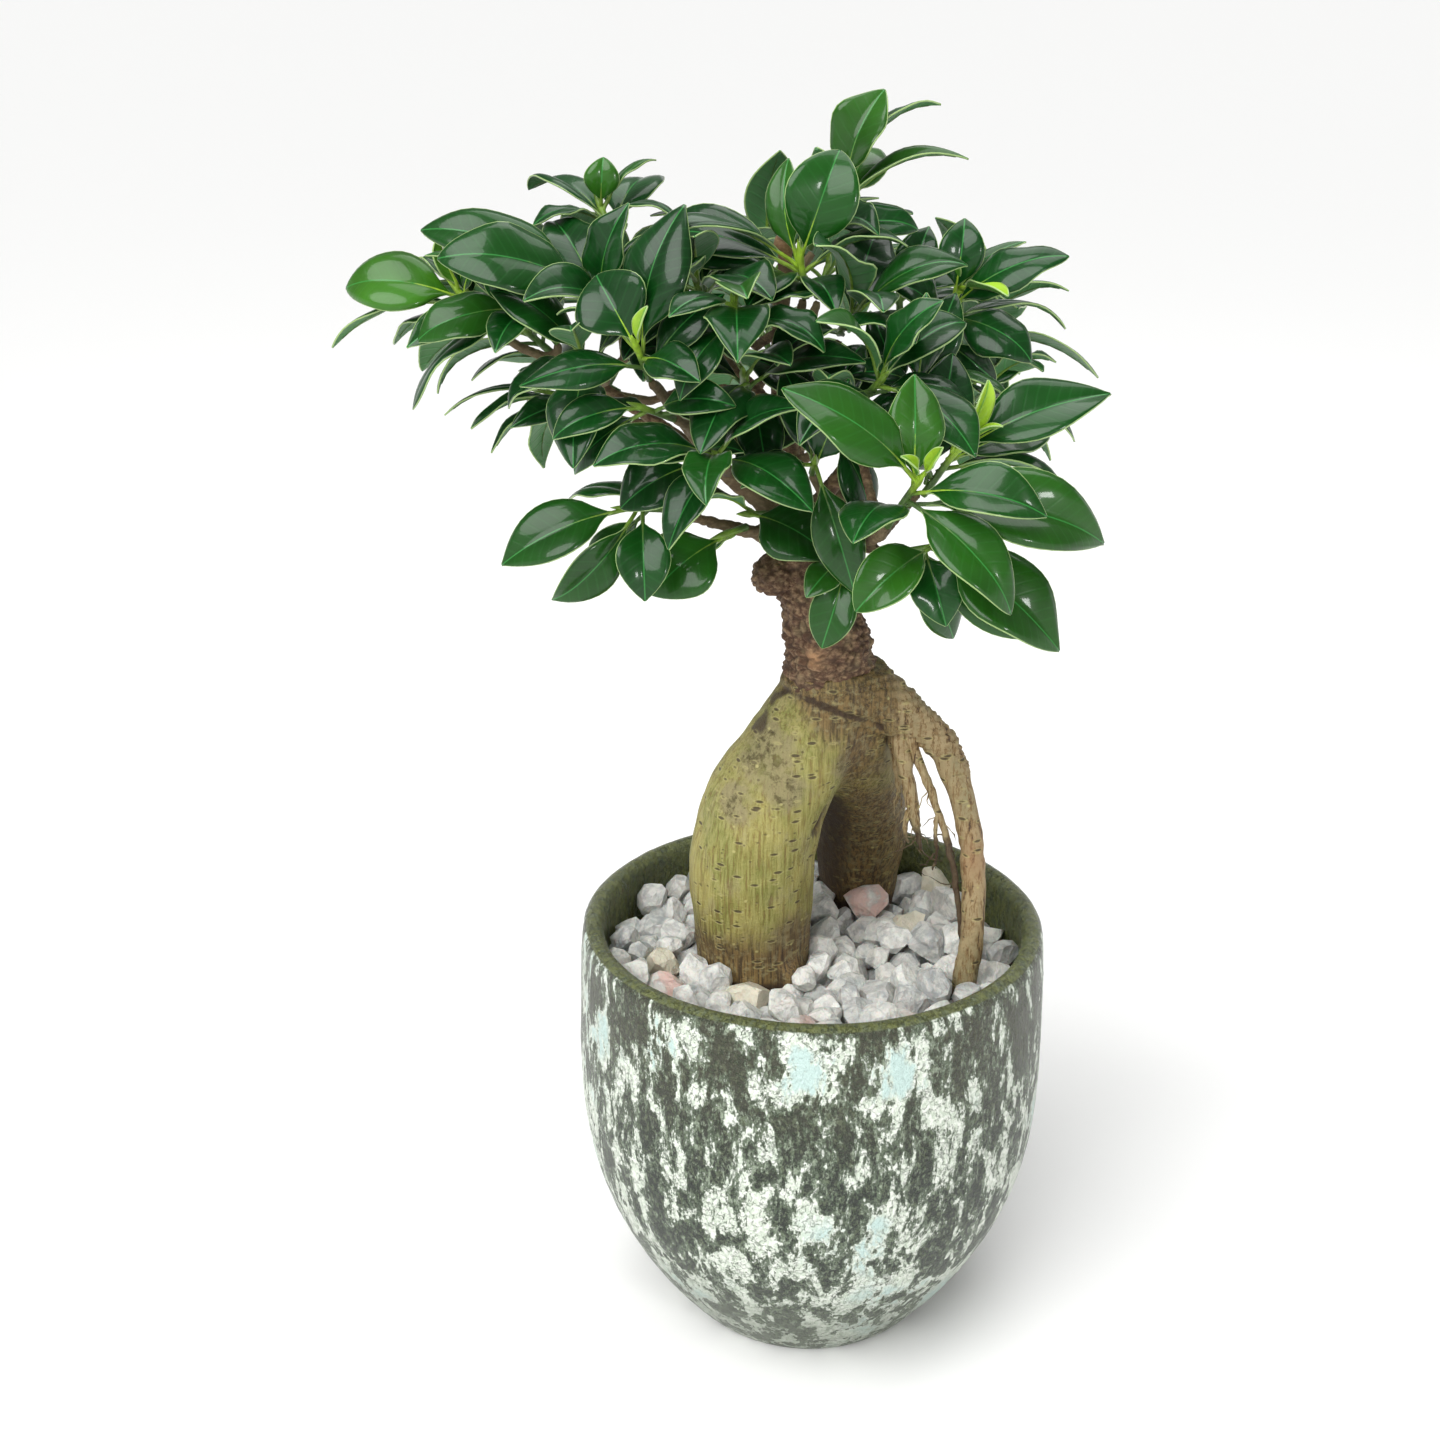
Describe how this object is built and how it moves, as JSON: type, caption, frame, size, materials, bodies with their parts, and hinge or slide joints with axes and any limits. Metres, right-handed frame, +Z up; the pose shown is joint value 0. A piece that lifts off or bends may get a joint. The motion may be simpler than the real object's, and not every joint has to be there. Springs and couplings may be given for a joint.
{
  "type": "potted ficus bonsai",
  "caption": "Grafted ficus bonsai: fleshy forked root and woody prop root carrying a leafy crown, in a deep round glazed pot topped with pale stone chips.",
  "frame": {"origin": "centre of the pot's flat foot, on the surface the pot stands on", "axes": "+Z up along the pot's axis, -Y towards the tree's front, +X to the right seen from the front"},
  "size_m": [0.222, 0.1848, 0.372],
  "materials": {
    "reactive_glaze": "gloss",
    "marble_chips": "matte",
    "potting_soil": "matte",
    "ficus_root_bark": "matte",
    "scion_bark": "matte",
    "ficus_leaf": "satin"
  },
  "bodies": {
    "root": {"ceramic_pot": "reactive_glaze", "gravel_bed": "marble_chips", "potting_soil": "potting_soil", "rootstock": "ficus_root_bark", "scion_wood": "scion_bark", "shoot_back": "ficus_leaf", "shoot_back_far_left": "ficus_leaf", "shoot_back_left": "ficus_leaf", "shoot_back_left_low": "ficus_leaf", "shoot_back_low": "ficus_leaf", "shoot_back_right": "ficus_leaf", "shoot_back_right_low": "ficus_leaf", "shoot_back_top": "ficus_leaf", "shoot_centre_front": "ficus_leaf", "shoot_centre_left": "ficus_leaf", "shoot_front_left": "ficus_leaf", "shoot_front_low": "ficus_leaf", "shoot_front_mid": "ficus_leaf", "shoot_front_right": "ficus_leaf", "shoot_front_right_high": "ficus_leaf", "shoot_front_top": "ficus_leaf", "shoot_inner_far_left": "ficus_leaf", "shoot_inner_front": "ficus_leaf", "shoot_inner_left": "ficus_leaf", "shoot_inner_low": "ficus_leaf", "shoot_inner_right": "ficus_leaf", "shoot_inner_top": "ficus_leaf", "shoot_left_back": "ficus_leaf", "shoot_left_far": "ficus_leaf", "shoot_left_front": "ficus_leaf", "shoot_left_mid": "ficus_leaf", "shoot_left_upper": "ficus_leaf", "shoot_limb_front": "ficus_leaf", "shoot_low_centre": "ficus_leaf", "shoot_low_left": "ficus_leaf", "shoot_mid_right": "ficus_leaf", "shoot_right": "ficus_leaf", "shoot_right_back": "ficus_leaf", "shoot_right_low": "ficus_leaf", "shoot_top": "ficus_leaf", "shoot_top_left": "ficus_leaf", "shoot_top_right": "ficus_leaf", "shoot_trunk_front": "ficus_leaf", "shoot_trunk_left": "ficus_leaf"}
  },
  "joints": []
}
